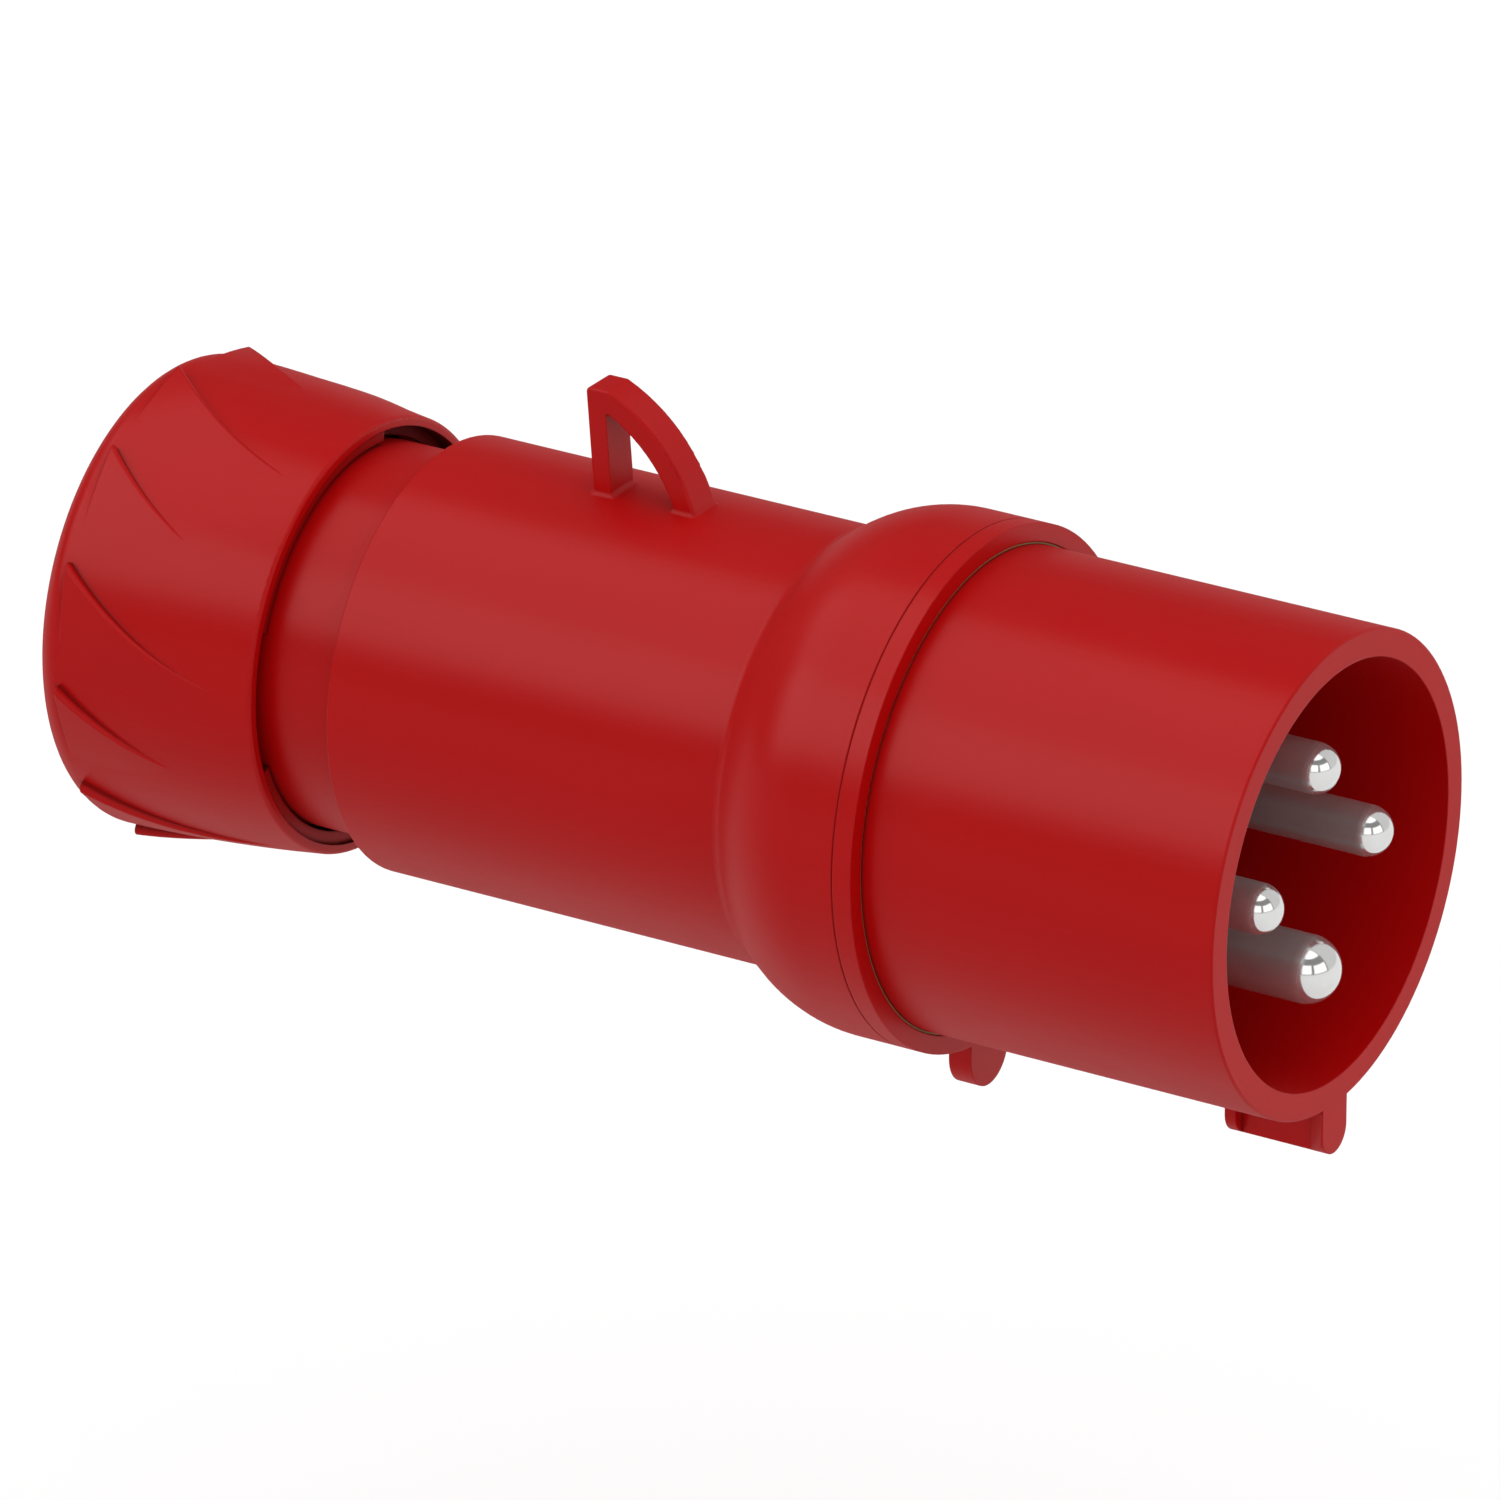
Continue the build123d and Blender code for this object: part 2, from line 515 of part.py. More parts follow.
def pin_retainer():
    """Plate screwed behind the carrier, which traps every contact's flange."""
    plate = rod(RETAINER_START, RETAINER_END, CARRIER_RIM_R)
    rib_mid = RETAINER_END + RETAINER_RIB_HEIGHT / 2
    rib_length = 2 * (RETAINER_SCREW_PITCH_R - SCREW_BOSS_R)
    for turn in (RETAINER_SCREW_ANGLE, RETAINER_SCREW_ANGLE + 90):
        rib = Box(RETAINER_RIB_HEIGHT, RETAINER_RIB_THICKNESS, rib_length)
        plate += Rot(turn, 0, 0) * Pos(-rib_mid, 0, 0) * rib
    for name, angle in CONTACTS:
        y, z = around(angle, PITCH_R)
        plate -= rod(RETAINER_START - OVERRUN, BARREL_END, contact_r(name) + BARREL_STEP + SLIP, y, z)
    for y, z in retainer_screw_places():
        plate -= rod(RETAINER_START - OVERRUN, RETAINER_END + OVERRUN, RETAINER_SCREW_R + SLIP, y, z)
    return plate


def retainer_screw(y, z):
    """Slotted pan-head screw from the retaining plate into the carrier's boss."""
    head_end = RETAINER_END + RETAINER_HEAD_HEIGHT
    head = rod(RETAINER_END, head_end, RETAINER_HEAD_R)
    shank = rod(RETAINER_END - RETAINER_SCREW_LENGTH, RETAINER_END, RETAINER_SCREW_R)
    slot = Pos(SLOT_DEPTH / 2 - head_end, 0, 0) * Box(SLOT_DEPTH, 3 * RETAINER_HEAD_R, SLOT_WIDTH)
    return Pos(0, y, z) * (head + shank - slot)


def finger_r(depth):
    """Outer radius of the clamp fingers at a depth."""
    return FINGER_ROOT_R - CONE_SLOPE * (depth - FINGER_START)


def clamp_cage():
    """Sleeve seated on the neck's end, with a crown of fingers that the gland squeezes."""
    cage = turned([
        (NECK_END - CAGE_REACH, CAGE_BORE_R), (NECK_END - CAGE_REACH, CAGE_TUBE_R), (NECK_END, CAGE_TUBE_R),
        (NECK_END, CAGE_FLANGE_R), (FINGER_START, CAGE_FLANGE_R), (FINGER_START, FINGER_ROOT_R),
        (FINGER_END, finger_r(FINGER_END)), (FINGER_END, finger_r(FINGER_END) - FINGER_THICKNESS),
        (FINGER_START, FINGER_ROOT_R - FINGER_THICKNESS), (NECK_END, CAGE_BORE_R),
    ])
    slot_start = FINGER_START + FINGER_ROOT_LENGTH
    slot_length = FINGER_END + OVERRUN - slot_start
    slot = Pos(-slot_start - slot_length / 2, 0, FINGER_ROOT_R) * Box(slot_length, FINGER_SLOT, FINGER_ROOT_R)
    for step in range(FINGER_COUNT):
        cage -= Rot(step * 360 / FINGER_COUNT, 0, 0) * slot
    return cage


def cable_grommet():
    """Rubber sleeve inside the clamp cage, bored for the cable, with a nose between the fingers."""
    inside = FINGER_THICKNESS + SLIP
    nose_end = FINGER_END - GROMMET_SHORTFALL
    body_r = CAGE_BORE_R - HAIR
    return turned([
        (NECK_END - CAGE_REACH + SLIP, GROMMET_BORE_R), (NECK_END - CAGE_REACH + SLIP, body_r),
        (NECK_END - SLIP, body_r), (FINGER_START, FINGER_ROOT_R - inside),
        (nose_end, finger_r(nose_end) - inside), (nose_end, GROMMET_BORE_R),
    ])


def pressure_ring():
    """Loose cone ring that the nut pushes over the clamp fingers."""
    front_r = finger_r(RING_FRONT) + MOVING_GAP
    rear_r = finger_r(RING_REAR_FACE) + MOVING_GAP
    return turned([
        (RING_FRONT, front_r), (RING_FRONT, front_r + RING_WALL),
        (RING_REAR_FACE, rear_r + RING_WALL), (RING_REAR_FACE, rear_r),
    ])


def nut_arc_centre():
    """Centre and radius of the nut's barrelled side, through its front, middle and rear sizes."""
    front = (NUT_FRONT + NUT_RIM_R, NUT_FRONT_R)
    rear = (NUT_END - NUT_CORNER_R, NUT_REAR_R)
    middle = ((front[0] + rear[0]) / 2, NUT_MIDDLE_R)
    (ax, ay), (bx, by), (cx, cy) = front, middle, rear
    twice_area = 2 * (ax * (by - cy) + bx * (cy - ay) + cx * (ay - by))
    a2, b2, c2 = ax ** 2 + ay ** 2, bx ** 2 + by ** 2, cx ** 2 + cy ** 2
    centre_x = (a2 * (by - cy) + b2 * (cy - ay) + c2 * (ay - by)) / twice_area
    centre_y = (a2 * (cx - bx) + b2 * (ax - cx) + c2 * (bx - ax)) / twice_area
    return centre_x, centre_y, math.hypot(ax - centre_x, ay - centre_y)


def nut_radius(depth):
    """Outer radius of the nut's side at a depth."""
    centre_x, centre_y, radius = nut_arc_centre()
    return centre_y + math.sqrt(radius ** 2 - (depth - centre_x) ** 2)


def nut_outline():
    """Face between the nut's outside and its bores, as (depth, radius)."""
    side_start = NUT_FRONT + NUT_RIM_R
    side_end = NUT_END - NUT_CORNER_R
    middle = (side_start + side_end) / 2
    quarter = math.sin(math.pi / 4)
    cone_gap = RING_WALL + 2 * MOVING_GAP
    side = ThreePointArc((-side_start, NUT_FRONT_R), (-middle, NUT_MIDDLE_R), (-side_end, NUT_REAR_R))
    corner = ThreePointArc(
        (-side_end, NUT_REAR_R),
        (-side_end - NUT_CORNER_R * quarter, NUT_REAR_R - NUT_CORNER_R * (1 - quarter)),
        (-NUT_END, NUT_REAR_R - NUT_CORNER_R),
    )
    rest = Polyline(*[(-depth, radius) for depth, radius in [
        (NUT_END, NUT_REAR_R - NUT_CORNER_R), (NUT_END, NUT_CABLE_R + NUT_CABLE_FLARE),
        (NUT_END - NUT_CABLE_FLARE, NUT_CABLE_R), (RING_REAR_FACE, NUT_CABLE_R),
        (RING_REAR_FACE, finger_r(RING_REAR_FACE) + cone_gap), (RING_FRONT, finger_r(RING_FRONT) + cone_gap),
        (RING_FRONT, NUT_THREAD_R), (NUT_FRONT + NUT_MOUTH_DEPTH, NUT_THREAD_R),
        (NUT_FRONT + NUT_MOUTH_DEPTH, NUT_MOUTH_R), (NUT_FRONT, NUT_MOUTH_R),
        (NUT_FRONT, NUT_FRONT_R - NUT_RIM_R),
    ]])
    rim = ThreePointArc(
        (-NUT_FRONT, NUT_FRONT_R - NUT_RIM_R),
        (-NUT_FRONT - NUT_RIM_R * (1 - quarter), NUT_FRONT_R - NUT_RIM_R * (1 - quarter)),
        (-side_start, NUT_FRONT_R),
    )
    return make_face(side + corner + rest + rim)


def lip_segment(start_angle):
    """One arc of the inner lip at the nut's mouth."""
    front = NUT_FRONT + LIP_RECESS
    profile = make_face(Polyline(
        (-front, LIP_BORE_R), (-front, NUT_MOUTH_R + LIP_RECESS),
        (-front - LIP_THICKNESS, NUT_MOUTH_R + LIP_RECESS), (-front - LIP_THICKNESS, LIP_BORE_R), close=True,
    ))
    return Rot(start_angle, 0, 0) * revolve(Plane.XZ * profile, Axis.X, LIP_ARC)


def rib_section(run, length):
    """Cross-section of a swirl rib: a steep wall, a round edge and a ramp that runs out into the side."""
    share = run / length
    depth = RIB_START - run
    base = nut_radius(depth)
    top = base + (RIB_HEIGHT + RIB_TIP_SINK) * (1 - share) - RIB_TIP_SINK
    foot = base - RIB_FOOT_SINK - RIB_TIP_SINK * share
    edge_r = RIB_TIP_EDGE_R + (RIB_EDGE_R - RIB_TIP_EDGE_R) * (1 - share)
    edge = math.degrees(edge_r / top)
    ramp = RIB_TIP_RAMP + (RIB_RAMP - RIB_TIP_RAMP) * math.sqrt(1 - share)
    turn = RIB_TWIST * run - RIB_TWIST_EASE * run ** 2

    def point(angle, radius):
        return -depth, *around(turn + angle, radius)

    bevel = 1 - math.sin(math.pi / 4)
    wall = Line(point(0, base - RIB_ROOT_SINK), point(0, top - edge_r))
    round_edge = ThreePointArc(
        point(0, top - edge_r), point(edge * bevel, top - edge_r * bevel), point(edge, top)
    )
    slope = ThreePointArc(
        point(edge, top), point((edge + ramp) / 2, foot + (top - foot) / 4), point(ramp, foot)
    )
    root = Polyline(point(ramp, foot), point(ramp, base - RIB_ROOT_SINK), point(0, base - RIB_ROOT_SINK))
    return make_face(wall + round_edge + slope + root)


def swirl_rib(length):
    """Grip rib that starts tall at the nut's rear and sweeps forward into its side."""
    steps = RIB_SECTION_COUNT - 1
    return loft([rib_section(length * step / steps, length) for step in range(RIB_SECTION_COUNT)])


def gland_nut():
    """Barrelled nut with a coned inside, three lip arcs and twelve swirling ribs."""
    nut = revolve(Plane.XZ * nut_outline(), Axis.X)
    for step in range(LIP_COUNT):
        nut += lip_segment(LIP_START + step * 360 / LIP_COUNT)
    ribs = [swirl_rib(RIB_LONG), swirl_rib(RIB_SHORT)]
    for step in range(RIB_COUNT):
        nut += Rot(RIB_PHASE + step * 360 / RIB_COUNT, 0, 0) * ribs[step % 2]
    return nut


def build():
    """Every node of the plug by name."""
    nodes = {
        "handle_housing": handle_housing(),
        "collar_ring": collar_ring(),
        "collar_seal": collar_seal(),
        "shroud": shroud(),
        "shroud_seal": shroud_seal(),
        "pin_carrier": pin_carrier(),
        "pin_retainer": pin_retainer(),
        "clamp_cage": clamp_cage(),
        "cable_grommet": cable_grommet(),
        "pressure_ring": pressure_ring(),
        "gland_nut": gland_nut(),
    }
    for name, angle in CONTACTS:
        nodes[name] = contact_pin(name, angle)
        nodes["terminal_screw_" + name.replace("_pin", "")] = terminal_screw(name, angle)
    for number, (y, z) in enumerate(retainer_screw_places(), start=1):
        nodes[f"retainer_screw_{number}"] = retainer_screw(y, z)
    return nodes


os.makedirs("parts", exist_ok=True)
for node, solid in build().items():
    export_step(solid, f"parts/{node}.step")
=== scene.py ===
"""Looks of the industrial pin and sleeve plug, in metres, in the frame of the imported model.

+X points out of the mouth along the plug's axis, and +Z is up through the hanging loop.
"""

import json
import math

import bpy
from mathutils import Matrix, Vector


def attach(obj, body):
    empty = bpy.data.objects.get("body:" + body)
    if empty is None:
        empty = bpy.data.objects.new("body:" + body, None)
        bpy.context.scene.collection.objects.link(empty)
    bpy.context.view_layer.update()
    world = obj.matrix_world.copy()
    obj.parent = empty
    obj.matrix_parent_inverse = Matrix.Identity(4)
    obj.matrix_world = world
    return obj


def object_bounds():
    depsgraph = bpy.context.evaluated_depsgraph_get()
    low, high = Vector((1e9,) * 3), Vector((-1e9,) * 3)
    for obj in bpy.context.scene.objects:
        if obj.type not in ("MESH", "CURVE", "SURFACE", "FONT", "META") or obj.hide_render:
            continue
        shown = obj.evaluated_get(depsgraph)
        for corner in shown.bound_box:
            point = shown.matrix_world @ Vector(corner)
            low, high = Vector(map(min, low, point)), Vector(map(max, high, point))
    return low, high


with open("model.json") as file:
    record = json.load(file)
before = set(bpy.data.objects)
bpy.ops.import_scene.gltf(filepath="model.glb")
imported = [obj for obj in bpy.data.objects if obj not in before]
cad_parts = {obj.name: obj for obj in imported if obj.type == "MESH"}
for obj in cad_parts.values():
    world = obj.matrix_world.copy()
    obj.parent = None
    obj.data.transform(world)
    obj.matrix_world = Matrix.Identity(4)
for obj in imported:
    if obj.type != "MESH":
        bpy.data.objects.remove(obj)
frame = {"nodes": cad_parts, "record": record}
for leftover in ("Cube", "Light", "Camera"):
    if leftover in bpy.data.objects:
        bpy.data.objects.remove(bpy.data.objects[leftover])
cad_low, cad_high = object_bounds()

MM = 0.001
WHITE = (1.0, 1.0, 1.0, 1.0)

# Camera, fitted to the photograph's silhouettes
CAMERA_AZIMUTH = 31.557
CAMERA_ELEVATION = 23.937
CAMERA_TARGET = Vector((-77.79, 0.0, -2.62)) * MM
CAMERA_DISTANCE = 1796.7 * MM
CAMERA_LENS = 374.85
CAMERA_SENSOR = 36.0
CAMERA_CLIP_END = 100.0

# Floor: pale where it lights the plug, lifted to white where it is seen or reflected
FLOOR_DROP = 85.0 * MM
FLOOR_SIZE = 60.0
FLOOR_COLOUR = (0.55, 0.55, 0.55, 1.0)
FLOOR_ROUGHNESS = 0.9
FLOOR_GLOW = 0.46

# Ambient light: strength from below and from above, and how far it drops towards +X
AMBIENT_LOW = 0.87
AMBIENT_HIGH = 1.13
AMBIENT_FRONT = 0.8

# Surroundings that are seen or reflected. They change from rear to front over a range of a
# direction's X, and from the glow below the horizon over a range of its Z.
SURROUND_REAR = 0.03
SURROUND_FRONT = 0.22
SURROUND_RANGE = (-0.1, 0.2)
HORIZON_GLOW = 1.0
HORIZON_RANGE = (0.05, 0.06)

# Light panels, which fade in over a range of a direction's X: strength, and limits in degrees
# of azimuth, from +X towards +Y, and of elevation, with edges that many degrees soft
PANELS_RANGE = (-0.05, 0.15)
PANEL_EDGE = 3.0
PANEL_LIGHT = 1.7
SIDE_LIGHT = 0.75
PANELS = [
    (PANEL_LIGHT, (-180, 12, 54, 90)),
    (PANEL_LIGHT, (-80, -44, 4, 36)),
    (PANEL_LIGHT, (-38, 10, 4, 34)),
    (SIDE_LIGHT, (12, 180, -5, 90)),
]

# Soft boxes: angle about the plug's axis from +Y towards +Z, width and power. They stand
# towards the rear, by this share of their distance.
SOFTBOXES = [(141.0, 0.68, 6.7), (99.0, 1.0, 6.5)]
SOFTBOX_DISTANCE = 1.3
SOFTBOX_LENGTH = 1.2
SOFTBOX_BEHIND = 0.478

# Textures: the stretch of a noise texture's values that is used, for numbers and for colours.
# Scales are in features per metre.
NOISE_SPAN = (0.3, 0.7)
BLEND_SPAN = (0.35, 0.65)
DETAIL_SAMPLES = 6

# Moulded plastic
PLASTIC_SPECULAR = 0.135
PLASTIC_FLOW_SCALE = 90.0
PLASTIC_FLOW_STRETCH = (0.35, 1.0, 1.0)
PLASTIC_GLOSS_SCALE = 240.0
PLASTIC_GRAIN_SCALE = 5200.0
PLASTIC_GRAIN_DEPTH = 0.02 * MM
EDGE_ROUND = 0.22 * MM

# Roughness that plastic gains at grazing angles, over a range of Layer Weight's Facing
GRAZING_RANGE = (0.35, 0.9)
GRAZING_ROUGHNESS = 0.34

# Painted shade in crevices: how far a corner is felt, the openness over which the colour is
# darkened, and how dark it gets.
# The nut's reach is wide enough to paint shade onto the steps inside its mouth.
CREVICE_SHADE = (0.5 * MM, (0.6, 0.97), 0.5)
NUT_CREVICE_SHADE = (3.0 * MM, (0.4, 0.75), 0.12)
CREVICE_ROUGHNESS = 0.5

# Rubber
RUBBER_BLOOM_SCALE = 300.0
RUBBER_BLOOM_SPAN = (0.4, 0.8)
RUBBER_ROUGHNESS = (0.62, 0.82)
RUBBER_SKIN_SCALE = 2600.0
RUBBER_SKIN_STRENGTH = 0.25
RUBBER_SKIN_DEPTH = 0.03 * MM

# Plated metal: its tool marks are a noise stretched into rings about X or lines along X. A
# contact's dome is polished, which comes in over a range of the surface normal's X.
METAL_CLOUD_SCALE = 350.0
METAL_MARK_SCALE = 600.0
METAL_MARK_STRENGTH = 0.015
METAL_MARK_DEPTH = 0.005 * MM
TURNED_RINGS = (6.0, 0.05, 0.05)
DRAWN_LINES = (1.0, 60.0, 60.0)
NICKEL_METALLIC = 0.82
DOME_POLISH = 0.18
DOME_RANGE = (0.2, 0.36)

# Gland thread: ridges left out of the solids
THREAD_PITCH = 3.0 * MM
THREAD_STEPS_PER_TURN = 72
THREAD_FADE_TURNS = 0.15
THREAD_LEAST_HEIGHT = 0.1
THREAD_BASE_WIDTH = 1.9 * MM
THREAD_CREST_WIDTH = 0.7 * MM
THREAD_SINK = 0.08 * MM
NECK_THREAD_FROM = 132.9 * MM
NECK_THREAD_TO = 146.1 * MM
NECK_THREAD_ROOT_R = 21.9 * MM
NECK_THREAD_CREST_R = 22.9 * MM
NUT_THREAD_FROM = 132.9 * MM
NUT_THREAD_TO = 149.3 * MM
NUT_THREAD_ROOT_R = 23.5 * MM
NUT_THREAD_CREST_R = 22.2 * MM


def linear(r, g, b):
    """Linear colour with alpha from 8-bit screen values."""
    def one(c):
        c /= 255
        return c / 12.92 if c <= 0.04045 else ((c + 0.055) / 1.055) ** 2.4
    return one(r), one(g), one(b), 1.0


def new_material(name):
    """Node material, its tree and its Principled shader."""
    material = bpy.data.materials.new(name)
    material.use_nodes = True
    tree = material.node_tree
    return material, tree, tree.nodes["Principled BSDF"]


def math_node(tree, operation, *sources):
    """Result of a Math node on one or two sockets."""
    node = tree.nodes.new("ShaderNodeMath")
    node.operation = operation
    for socket, source in zip(node.inputs, sources):
        tree.links.new(source, socket)
    return node.outputs["Value"]


def map_range(tree, value, from_range, to_range):
    """Value moved from one range to another and held within it."""
    node = tree.nodes.new("ShaderNodeMapRange")
    limits = from_range + to_range
    for name, number in zip(("From Min", "From Max", "To Min", "To Max"), limits):
        node.inputs[name].default_value = number
    tree.links.new(value, node.inputs["Value"])
    return node.outputs["Result"]


def mix_value(tree, factor, low, high):
    """Value between two sockets or numbers by a factor."""
    node = tree.nodes.new("ShaderNodeMix")
    tree.links.new(factor, node.inputs["Factor"])
    for socket, value in ((node.inputs["A"], low), (node.inputs["B"], high)):
        if isinstance(value, (int, float)):
            socket.default_value = value
        else:
            tree.links.new(value, socket)
    return node.outputs["Result"]


def noise(tree, scale, detail, stretch=None):
    """Noise texture in the object's own coordinates, its scale in features per metre."""
    source = tree.nodes.new("ShaderNodeTexCoord").outputs["Object"]
    if stretch:
        mapping = tree.nodes.new("ShaderNodeMapping")
        mapping.inputs["Scale"].default_value = stretch
        tree.links.new(source, mapping.inputs["Vector"])
        source = mapping.outputs["Vector"]
    texture = tree.nodes.new("ShaderNodeTexNoise")
    texture.inputs["Scale"].default_value = scale
    texture.inputs["Detail"].default_value = detail
    tree.links.new(source, texture.inputs["Vector"])
    return texture.outputs["Fac"]


def blend_by(tree, factor, low_colour, high_colour, blend_span=BLEND_SPAN):
    """Colour that runs between two colours as a texture value runs through its span."""
    ramp = tree.nodes.new("ShaderNodeValToRGB")
    ends = zip(ramp.color_ramp.elements, blend_span, (low_colour, high_colour))
    for element, position, colour in ends:
        element.position = position
        element.color = colour
    tree.links.new(factor, ramp.inputs["Fac"])
    return ramp.outputs["Color"]


def bump(tree, shader, height, strength, distance, edge_round=0.0):
    """Surface relief from a texture value, over edges that look slightly rounded."""
    node = tree.nodes.new("ShaderNodeBump")
    if edge_round:
        bevel = tree.nodes.new("ShaderNodeBevel")
        bevel.samples = DETAIL_SAMPLES
        bevel.inputs["Radius"].default_value = edge_round
        tree.links.new(bevel.outputs["Normal"], node.inputs["Normal"])
    node.inputs["Strength"].default_value = strength
    node.inputs["Distance"].default_value = distance
    tree.links.new(height, node.inputs["Height"])
    tree.links.new(node.outputs["Normal"], shader.inputs["Normal"])


def painted_crevice_shade(tree, colour, crevice_shade):
    """Painted shade: colour darkened in tight corners, by how closed in they are, and roughness
    added there.
    """
    reach, open_range, darkest = crevice_shade
    corner = tree.nodes.new("ShaderNodeAmbientOcclusion")
    corner.samples = DETAIL_SAMPLES
    corner.inputs["Distance"].default_value = reach
    openness = corner.outputs["AO"]
    darkened = tree.nodes.new("ShaderNodeMix")
    darkened.data_type = "RGBA"
    darkened.blend_type = "MULTIPLY"
    darkened.inputs["Factor"].default_value = 1.0
    tree.links.new(colour, darkened.inputs["A"])
    tree.links.new(map_range(tree, openness, open_range, (darkest, 1.0)), darkened.inputs["B"])
    dull = map_range(tree, openness, open_range, (CREVICE_ROUGHNESS, 0.0))
    return darkened.outputs["Result"], dull


def moulded_plastic(name, colour, deep_colour, roughness, grain, crevice_shade=CREVICE_SHADE):
    """Satin moulded plastic: faint flow mottling, a fine spark-eroded grain, uneven gloss and
    painted shade in its corners.
    """
    material, tree, shader = new_material(name)
    flow = noise(tree, PLASTIC_FLOW_SCALE, detail=4.0, stretch=PLASTIC_FLOW_STRETCH)
    plain = blend_by(tree, flow, deep_colour, colour)
    # Painted shade: the base colour is darkened in corners and creases.
    shaded, dull = painted_crevice_shade(tree, plain, crevice_shade)
    tree.links.new(shaded, shader.inputs["Base Color"])
    gloss = noise(tree, PLASTIC_GLOSS_SCALE, detail=3.0)
    satin = map_range(tree, gloss, NOISE_SPAN, roughness)
    facing = tree.nodes.new("ShaderNodeLayerWeight").outputs["Facing"]
    grazing = map_range(tree, facing, GRAZING_RANGE, (0.0, GRAZING_ROUGHNESS))
    rough = math_node(tree, "ADD", math_node(tree, "ADD", satin, grazing), dull)
    tree.links.new(rough, shader.inputs["Roughness"])
    shader.inputs["Specular IOR Level"].default_value = PLASTIC_SPECULAR
    relief = noise(tree, PLASTIC_GRAIN_SCALE, detail=1.0)
    bump(tree, shader, relief, grain, PLASTIC_GRAIN_DEPTH, EDGE_ROUND)
    return material


def rubber(name, colour, worn_colour):
    """Matt rubber with a dusty bloom and a soft, uneven skin."""
    material, tree, shader = new_material(name)
    bloom = noise(tree, RUBBER_BLOOM_SCALE, detail=5.0)
    dusty = blend_by(tree, bloom, colour, worn_colour, RUBBER_BLOOM_SPAN)
    tree.links.new(dusty, shader.inputs["Base Color"])
    rough = map_range(tree, bloom, NOISE_SPAN, RUBBER_ROUGHNESS)
    tree.links.new(rough, shader.inputs["Roughness"])
    skin = noise(tree, RUBBER_SKIN_SCALE, detail=2.0)
    bump(tree, shader, skin, RUBBER_SKIN_STRENGTH, RUBBER_SKIN_DEPTH)
    return material


def plated_metal(name, colour, dull_colour, roughness, marks, metallic=1.0, dome_polish=0.0):
    """Plated metal with fine tool marks, uneven brightness and, on a contact, a polished dome."""
    material, tree, shader = new_material(name)
    cloud = noise(tree, METAL_CLOUD_SCALE, detail=3.0)
    tree.links.new(blend_by(tree, cloud, dull_colour, colour), shader.inputs["Base Color"])
    rough = map_range(tree, cloud, NOISE_SPAN, roughness)
    if dome_polish:
        normal = tree.nodes.new("ShaderNodeSeparateXYZ")
        coordinates = tree.nodes.new("ShaderNodeTexCoord")
        tree.links.new(coordinates.outputs["Normal"], normal.inputs["Vector"])
        polish = map_range(tree, normal.outputs["X"], DOME_RANGE, (0.0, dome_polish))
        rough = math_node(tree, "SUBTRACT", rough, polish)
    tree.links.new(rough, shader.inputs["Roughness"])
    shader.inputs["Metallic"].default_value = metallic
    lines = noise(tree, METAL_MARK_SCALE, detail=2.0, stretch=marks)
    bump(tree, shader, lines, METAL_MARK_STRENGTH, METAL_MARK_DEPTH)
    return material


red_finish = {
    "colour": linear(180, 5, 6),
    "deep_colour": linear(178, 4, 5),
    "roughness": (0.28, 0.30),
    "grain": 0.03,
}
red_plastic = moulded_plastic("red_plastic", **red_finish)
# The nut has painted shade over a wider reach, which darkens the steps inside its mouth.
nut_plastic = moulded_plastic("nut_plastic", **red_finish, crevice_shade=NUT_CREVICE_SHADE)
carrier_plastic = moulded_plastic(
    "carrier_plastic", linear(52, 52, 54), linear(44, 44, 46), roughness=(0.42, 0.55), grain=0.2
)
clamp_plastic = moulded_plastic(
    "clamp_plastic", linear(108, 110, 112), linear(96, 98, 100), roughness=(0.40, 0.52), grain=0.2
)
black_rubber = rubber("black_rubber", linear(34, 34, 35), linear(52, 52, 52))
olive_rubber = rubber("olive_rubber", linear(146, 122, 74), linear(158, 136, 88))
nickel = plated_metal(
    "nickel", linear(222, 222, 221), linear(216, 216, 215), roughness=(0.28, 0.30),
    marks=TURNED_RINGS, metallic=NICKEL_METALLIC, dome_polish=DOME_POLISH,
)
zinc = plated_metal(
    "zinc", linear(186, 190, 198), linear(168, 172, 180), roughness=(0.28, 0.36),
    marks=DRAWN_LINES,
)

SLOT_MATERIALS = {
    "red_shell": red_plastic,
    "olive_seal": olive_rubber,
    "black_rubber": black_rubber,
    "carrier_plastic": carrier_plastic,
    "clamp_plastic": clamp_plastic,
    "plated_contact": nickel,
    "plated_steel": zinc,
}
NODE_MATERIALS = {"gland_nut": nut_plastic}


def dress_cad_nodes():
    """Give every CAD node the material of its slot in the record, and the nut its own."""
    for part in frame["record"]["subparts"]:
        name = part["node"]
        mesh = frame["nodes"][name].data
        mesh.materials.clear()
        mesh.materials.append(NODE_MATERIALS.get(name, SLOT_MATERIALS[part["material_slot"]]))


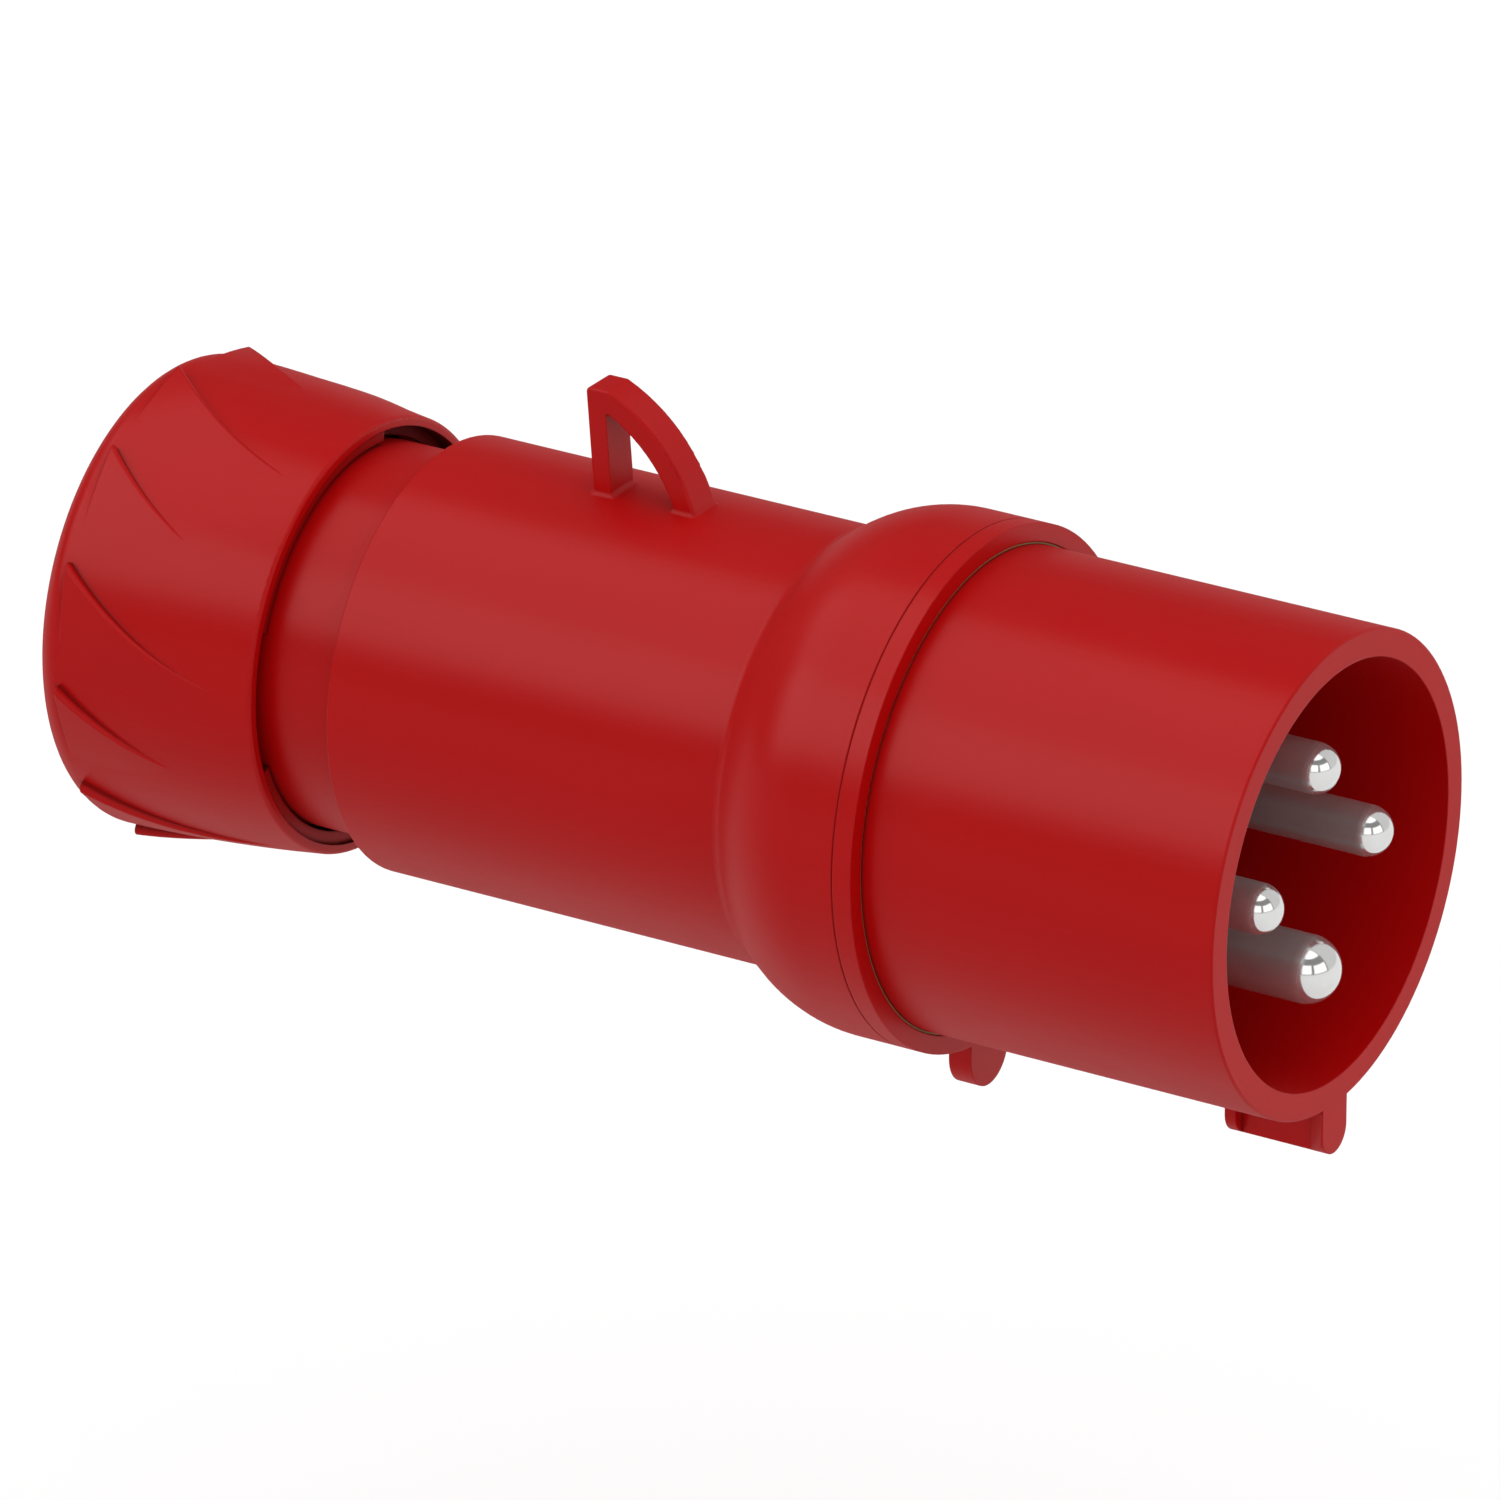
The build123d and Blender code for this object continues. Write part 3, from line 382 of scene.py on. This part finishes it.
def thread_ridge(name, body, start, end, root_r, crest_r, phase):
    """Right-hand helical ridge about the plug's axis, fading in and out at its ends."""
    outward = 1 if crest_r > root_r else -1
    base_r = root_r - outward * THREAD_SINK
    turns = (end - start) / THREAD_PITCH
    steps = int(turns * THREAD_STEPS_PER_TURN)
    vertices, faces = [], []
    for step in range(steps + 1):
        turn = turns * step / steps
        fade = min(1.0, turn / THREAD_FADE_TURNS, (turns - turn) / THREAD_FADE_TURNS)
        top_r = base_r + (crest_r - base_r) * max(fade, THREAD_LEAST_HEIGHT)
        angle = 2 * math.pi * (turn + start / THREAD_PITCH) + phase
        for along, radius in (
            (-THREAD_BASE_WIDTH / 2, base_r), (-THREAD_CREST_WIDTH / 2, top_r),
            (THREAD_CREST_WIDTH / 2, top_r), (THREAD_BASE_WIDTH / 2, base_r),
        ):
            depth = start + turn * THREAD_PITCH + along
            vertices.append((-depth, radius * math.cos(angle), -radius * math.sin(angle)))
        if step:
            a, b = 4 * (step - 1), 4 * step
            for edge in range(4):
                after = (edge + 1) % 4
                faces.append((a + edge, a + after, b + after, b + edge))
    last = 4 * steps
    faces += [(0, 1, 2, 3), (last + 3, last + 2, last + 1, last)]
    mesh = bpy.data.meshes.new(name)
    mesh.from_pydata(vertices, [], faces)
    mesh.validate()
    mesh.materials.append(red_plastic)
    ridge = bpy.data.objects.new(name, mesh)
    bpy.context.scene.collection.objects.link(ridge)
    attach(ridge, body)


def gland_threads():
    """The neck's thread, and the nut's half a pitch further on, so that they mesh."""
    thread_ridge("neck_thread", "plug_body", NECK_THREAD_FROM, NECK_THREAD_TO,
                 NECK_THREAD_ROOT_R, NECK_THREAD_CREST_R, 0.0)
    thread_ridge("nut_thread", "gland_nut", NUT_THREAD_FROM, NUT_THREAD_TO,
                 NUT_THREAD_ROOT_R, NUT_THREAD_CREST_R, math.pi)


def camera():
    """Camera at the photograph's viewing angle, distance and field of view."""
    azimuth = math.radians(CAMERA_AZIMUTH)
    elevation = math.radians(CAMERA_ELEVATION)
    back = Vector((
        math.sin(azimuth) * math.cos(elevation),
        -math.cos(azimuth) * math.cos(elevation),
        math.sin(elevation),
    ))
    data = bpy.data.cameras.new("camera")
    data.lens = CAMERA_LENS
    data.sensor_width = CAMERA_SENSOR
    data.clip_end = CAMERA_CLIP_END
    eye = bpy.data.objects.new("camera", data)
    eye.location = CAMERA_TARGET + back * CAMERA_DISTANCE
    eye.rotation_euler = (-back).to_track_quat("-Z", "Y").to_euler()
    bpy.context.scene.collection.objects.link(eye)
    bpy.context.scene.camera = eye


def seen_or_reflected(tree):
    """1 for camera, glossy and transmission rays, else 0."""
    path = tree.nodes.new("ShaderNodeLightPath").outputs
    seen = math_node(tree, "MAXIMUM", path["Is Camera Ray"], path["Is Glossy Ray"])
    return math_node(tree, "MAXIMUM", seen, path["Is Transmission Ray"])


def floor():
    """Large pale floor under the plug, white where it is seen, with the plug's shadow kept."""
    half = FLOOR_SIZE / 2
    level = cad_low.z - FLOOR_DROP
    corners = [(-half, -half), (half, -half), (half, half), (-half, half)]
    mesh = bpy.data.meshes.new("floor")
    mesh.from_pydata([(x, y, level) for x, y in corners], [], [(0, 1, 2, 3)])
    material, tree, shader = new_material("floor_white")
    shader.inputs["Base Color"].default_value = FLOOR_COLOUR
    shader.inputs["Roughness"].default_value = FLOOR_ROUGHNESS
    shader.inputs["Specular IOR Level"].default_value = 0.0
    glow = tree.nodes.new("ShaderNodeEmission")
    glow.inputs["Strength"].default_value = FLOOR_GLOW
    lifted = tree.nodes.new("ShaderNodeAddShader")
    tree.links.new(shader.outputs["BSDF"], lifted.inputs[0])
    tree.links.new(glow.outputs["Emission"], lifted.inputs[1])
    choice = tree.nodes.new("ShaderNodeMixShader")
    tree.links.new(seen_or_reflected(tree), choice.inputs["Fac"])
    tree.links.new(shader.outputs["BSDF"], choice.inputs[1])
    tree.links.new(lifted.outputs["Shader"], choice.inputs[2])
    tree.links.new(choice.outputs["Shader"], tree.nodes["Material Output"].inputs["Surface"])
    mesh.materials.append(material)
    plane = bpy.data.objects.new("floor", mesh)
    bpy.context.scene.collection.objects.link(plane)


def in_panel(tree, azimuth, elevation, limits):
    """1 for directions within a light panel's limits, 0 outside them, with soft edges."""
    inside = None
    for angle, low, high in ((azimuth, *limits[:2]), (elevation, *limits[2:])):
        for limit, soft in ((low, PANEL_EDGE), (high, -PANEL_EDGE)):
            edge = (math.radians(limit), math.radians(limit + soft))
            within = map_range(tree, angle, edge, (0.0, 1.0))
            inside = within if inside is None else math_node(tree, "MULTIPLY", inside, within)
    return inside


def studio_world():
    """Even ambient light, and the surroundings and light panels that are seen in the gloss."""
    world = bpy.data.worlds.new("studio")
    bpy.context.scene.world = world
    world.use_nodes = True
    tree = world.node_tree
    coordinates = tree.nodes.new("ShaderNodeTexCoord")
    split = tree.nodes.new("ShaderNodeSeparateXYZ")
    tree.links.new(coordinates.outputs["Generated"], split.inputs["Vector"])
    forward, left, up = split.outputs["X"], split.outputs["Y"], split.outputs["Z"]

    surround = map_range(tree, forward, SURROUND_RANGE, (SURROUND_REAR, SURROUND_FRONT))
    in_front = map_range(tree, forward, PANELS_RANGE, (0.0, 1.0))
    azimuth = math_node(tree, "ARCTAN2", left, forward)
    elevation = math_node(tree, "ARCSINE", up)
    for light, limits in PANELS:
        inside = in_panel(tree, azimuth, elevation, limits)
        shown = math_node(tree, "MULTIPLY", inside, in_front)
        surround = mix_value(tree, shown, surround, light)
    above_horizon = map_range(tree, up, HORIZON_RANGE, (0.0, 1.0))
    seen = mix_value(tree, above_horizon, HORIZON_GLOW, surround)

    by_height = map_range(tree, up, (-1.0, 1.0), (AMBIENT_LOW, AMBIENT_HIGH))
    front_share = map_range(tree, forward, (0.0, 1.0), (1.0, AMBIENT_FRONT))
    ambient = math_node(tree, "MULTIPLY", by_height, front_share)
    path = tree.nodes.new("ShaderNodeLightPath")
    strength = mix_value(tree, path.outputs["Is Diffuse Ray"], seen, ambient)
    background = tree.nodes["Background"]
    background.inputs["Color"].default_value = WHITE
    tree.links.new(strength, background.inputs["Strength"])


def softboxes():
    """One soft box overhead and one above the camera's side, seen in the gloss only."""
    outward = math.sqrt(1 - SOFTBOX_BEHIND**2)
    for angle, width, power in SOFTBOXES:
        turn = math.radians(angle)
        direction = Vector((-SOFTBOX_BEHIND, outward * math.cos(turn), outward * math.sin(turn)))
        across = Vector((0.0, -direction.z, direction.y)).normalized()
        along = across.cross(direction)
        data = bpy.data.lights.new("softbox", "AREA")
        data.shape = "RECTANGLE"
        data.size = SOFTBOX_LENGTH
        data.size_y = width
        data.energy = power
        lamp = bpy.data.objects.new("softbox", data)
        lamp.location = CAMERA_TARGET + direction * SOFTBOX_DISTANCE
        lamp.rotation_euler = Matrix((along, across, direction)).transposed().to_euler()
        lamp.visible_camera = False
        lamp.visible_diffuse = False
        bpy.context.scene.collection.objects.link(lamp)


dress_cad_nodes()
gland_threads()
camera()
floor()
studio_world()
softboxes()
bpy.context.scene.view_settings.view_transform = "Standard"
